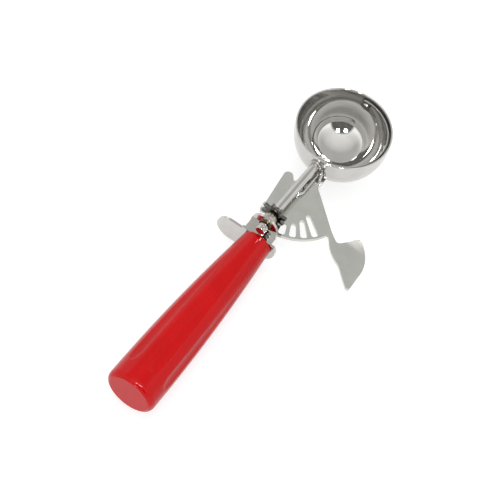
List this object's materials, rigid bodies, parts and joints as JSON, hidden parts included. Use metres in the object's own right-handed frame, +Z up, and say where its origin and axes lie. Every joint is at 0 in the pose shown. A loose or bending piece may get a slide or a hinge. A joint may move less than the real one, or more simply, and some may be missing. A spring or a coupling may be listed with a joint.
{
  "type": "lever ice cream scoop",
  "caption": "Round-bowl disher with a slotted thumb lever that turns a scraper band through a pinion on a spindle; moulded handle.",
  "frame": {"origin": "centre of the handle's flat butt face", "axes": "+X along the handle's axis towards the bowl; +Y to the left of someone holding the handle with the bowl's opening up; +Z up, where the bowl opens"},
  "size_m": [0.2097, 0.0776, 0.0325],
  "materials": {
    "grip": "gloss",
    "bright_steel": "polished",
    "lever_steel": "satin",
    "frame_steel": "satin",
    "gear_steel": "satin",
    "bush_brass": "satin",
    "spring_wire": "polished"
  },
  "bodies": {
    "frame": {"handle": "grip", "frame_bar": "frame_steel", "bearing_yoke": "bright_steel", "yoke_rivet": "frame_steel", "bearing_bush": "bush_brass", "shank_tube": "bright_steel", "bowl": "bright_steel", "bowl_bracket": "bright_steel", "bracket_rivet": "frame_steel", "spring_post": "bright_steel", "far_pivot_pin": "frame_steel", "far_pivot_washer": "frame_steel", "lever_rivet": "frame_steel", "lever_spacer": "frame_steel", "rivet_washer": "frame_steel", "return_spring": "spring_wire"},
    "lever": {"thumb_lever": "lever_steel"},
    "scraper": {"spindle": "frame_steel", "spindle_cap": "bright_steel", "hub_collar": "bright_steel", "pinion": "gear_steel", "pinion_key": "gear_steel", "scraper_band": "bright_steel", "band_boss": "frame_steel"}
  },
  "joints": [
    {"name": "lever_press", "type": "hinge", "parent": "frame", "child": "lever", "pos_m": [0.14315, 0, 0.0054], "axis": [0, 0, -1], "range_deg": [0, 48], "stiffness_Nm_per_rad": 0.2, "springref_deg": -40.11, "deforming": ["return_spring"]},
    {"name": "scraper_turn", "type": "hinge", "parent": "frame", "child": "scraper", "pos_m": [0.1199, 0, 0.012], "axis": [1, 0, 0], "range_deg": [0, 180]}
  ],
  "couplings": [
    {"joint": "scraper_turn", "follows": "lever_press", "ratio": 3.75}
  ]
}
